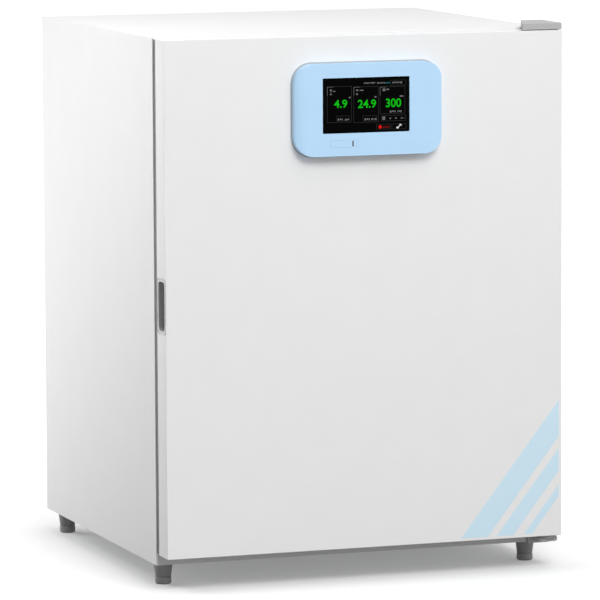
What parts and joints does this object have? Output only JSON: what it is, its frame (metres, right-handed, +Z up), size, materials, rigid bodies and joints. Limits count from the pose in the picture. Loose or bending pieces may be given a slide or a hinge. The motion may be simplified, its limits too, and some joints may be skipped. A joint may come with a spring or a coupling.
{
  "type": "incubated benchtop shaker",
  "caption": "White incubator cabinet on levelling feet, with a front door and touch display, an inner glass door, a heated steel chamber and an orbital shaking platform on an eccentric drive.",
  "frame": {"origin": "middle of the footprint, on the floor that the feet stand on", "axes": "+Z up, -Y the front with the door and display, +X the side of the door's hinges"},
  "size_m": [0.7, 0.742, 0.9253],
  "materials": {
    "white_paint": "fine satin powder coat",
    "stainless": "brushed",
    "zinc_steel": "zinc plated",
    "cast_aluminium": "fine cast",
    "bright_steel": "ground",
    "dark_plastic": "fine grain",
    "grey_plastic": "fine grain",
    "grip_plastic": "fine grain",
    "black_rubber": "matt",
    "seal_rubber": "matt",
    "clear_silicone": "matt",
    "foam": "rigid foam",
    "blue_plastic": "satin",
    "screen_glass": "polished over a black panel",
    "tinted_glass": "polished",
    "circuit_board": "lacquered",
    "black_paint": "satin"
  },
  "bodies": {
    "cabinet": {"outer_casing": "white_paint", "base_pan": "zinc_steel", "front_frame": "white_paint", "inner_chamber": "stainless", "insulation": "foam", "rear_panel": "white_paint", "foot_collar_1": "dark_plastic", "foot_collar_2": "dark_plastic", "foot_collar_3": "dark_plastic", "foot_collar_4": "dark_plastic", "upper_hinge_arm": "grey_plastic", "upper_hinge_pin": "bright_steel", "lower_hinge_arm": "zinc_steel", "lower_hinge_pin": "bright_steel", "inner_seal": "clear_silicone", "inner_hinge_rod": "bright_steel", "drive_deck": "zinc_steel", "drive_bearing_housing": "cast_aluminium", "drive_belt": "black_rubber", "motor_bracket": "zinc_steel", "shaker_motor": "black_paint", "idler_bearing_1": "cast_aluminium", "idler_bearing_2": "cast_aluminium", "idler_bearing_3": "cast_aluminium", "fan_motor": "black_paint", "duct_cover": "stainless", "temperature_probe": "bright_steel", "co2_sensor": "grey_plastic", "power_supply": "zinc_steel", "control_board": "circuit_board", "power_inlet": "dark_plastic", "co2_inlet": "bright_steel"},
    "outer_door": {"door_shell": "white_paint", "door_liner": "white_paint", "door_insulation": "foam", "door_seal": "seal_rubber", "handle_cup": "grip_plastic", "display_housing": "blue_plastic", "touch_screen": "screen_glass", "display_board": "circuit_board"},
    "flap": {"port_flap": "blue_plastic"},
    "inner_door": {"inner_glass": "tinted_glass", "glass_hinge_strip": "cast_aluminium"},
    "latch": {"latch_knob": "black_rubber"},
    "crank": {"drive_shaft": "bright_steel", "drive_pulley": "cast_aluminium", "shaft_slinger": "black_rubber", "counterweight": "zinc_steel"},
    "table": {"carriage": "cast_aluminium", "platform": "stainless"},
    "idler_1": {"idler_crank_1": "bright_steel"},
    "idler_2": {"idler_crank_2": "bright_steel"},
    "idler_3": {"idler_crank_3": "bright_steel"},
    "motor_rotor": {"motor_pulley": "cast_aluminium"},
    "fan_rotor": {"fan_impeller": "dark_plastic"},
    "foot_1": {"foot_pad_1": "black_rubber"},
    "foot_2": {"foot_pad_2": "black_rubber"},
    "foot_3": {"foot_pad_3": "black_rubber"},
    "foot_4": {"foot_pad_4": "black_rubber"},
    "rocker": {"power_switch": "black_rubber"}
  },
  "joints": [
    {"name": "door_hinge", "type": "hinge", "parent": "cabinet", "child": "outer_door", "pos_m": [0.331, -0.334, 0.485], "axis": [0, 0, 1], "range_deg": [0, 110]},
    {"name": "inner_door_hinge", "type": "hinge", "parent": "cabinet", "child": "inner_door", "pos_m": [0.289, -0.2975, 0.523], "axis": [0, 0, 1], "range_deg": [0, 82.5]},
    {"name": "latch_turn", "type": "hinge", "parent": "inner_door", "child": "latch", "pos_m": [-0.275, -0.3, 0.523], "axis": [0, -1, 0], "range_deg": [0, 90]},
    {"name": "flap_hinge", "type": "hinge", "parent": "outer_door", "child": "flap", "pos_m": [-0.0684, -0.3704, 0.736], "axis": [0, 0, -1], "range_deg": [0, 100]},
    {"name": "drive_spin", "type": "hinge", "parent": "cabinet", "child": "crank", "pos_m": [0, -0.061, 0.2], "axis": [0, 0, 1], "continuous": true},
    {"name": "table_orbit", "type": "hinge", "parent": "crank", "child": "table", "pos_m": [0.0125, -0.061, 0.25], "axis": [0, 0, 1], "continuous": true},
    {"name": "idler_1_spin", "type": "hinge", "parent": "cabinet", "child": "idler_1", "pos_m": [0, 0.064, 0.22], "axis": [0, 0, 1], "continuous": true},
    {"name": "idler_2_spin", "type": "hinge", "parent": "cabinet", "child": "idler_2", "pos_m": [-0.10825, -0.1235, 0.22], "axis": [0, 0, 1], "continuous": true},
    {"name": "idler_3_spin", "type": "hinge", "parent": "cabinet", "child": "idler_3", "pos_m": [0.10825, -0.1235, 0.22], "axis": [0, 0, 1], "continuous": true},
    {"name": "motor_spin", "type": "hinge", "parent": "cabinet", "child": "motor_rotor", "pos_m": [0.118, -0.061, 0.1], "axis": [0, 0, 1], "continuous": true},
    {"name": "fan_spin", "type": "hinge", "parent": "cabinet", "child": "fan_rotor", "pos_m": [0, 0.2, 0.603], "axis": [0, 1, 0], "continuous": true},
    {"name": "foot_1_turn", "type": "hinge", "parent": "cabinet", "child": "foot_1", "pos_m": [-0.325, -0.249, 0], "axis": [0, 0, 1], "range_deg": [-720, 720]},
    {"name": "foot_2_turn", "type": "hinge", "parent": "cabinet", "child": "foot_2", "pos_m": [0.325, -0.249, 0], "axis": [0, 0, 1], "range_deg": [-720, 720]},
    {"name": "foot_3_turn", "type": "hinge", "parent": "cabinet", "child": "foot_3", "pos_m": [-0.325, 0.307, 0], "axis": [0, 0, 1], "range_deg": [-720, 720]},
    {"name": "foot_4_turn", "type": "hinge", "parent": "cabinet", "child": "foot_4", "pos_m": [0.325, 0.307, 0], "axis": [0, 0, 1], "range_deg": [-720, 720]},
    {"name": "switch_rock", "type": "hinge", "parent": "cabinet", "child": "rocker", "pos_m": [-0.2315, 0.3538, 0.1], "axis": [1, 0, 0], "range_deg": [0, 17.5]}
  ],
  "couplings": [
    {"joint": "inner_door_hinge", "follows": "door_hinge", "ratio": 0.75},
    {"joint": "table_orbit", "follows": "drive_spin", "ratio": -1},
    {"joint": "idler_1_spin", "follows": "drive_spin", "ratio": 1},
    {"joint": "idler_2_spin", "follows": "drive_spin", "ratio": 1},
    {"joint": "idler_3_spin", "follows": "drive_spin", "ratio": 1},
    {"joint": "motor_spin", "follows": "drive_spin", "ratio": 3}
  ]
}
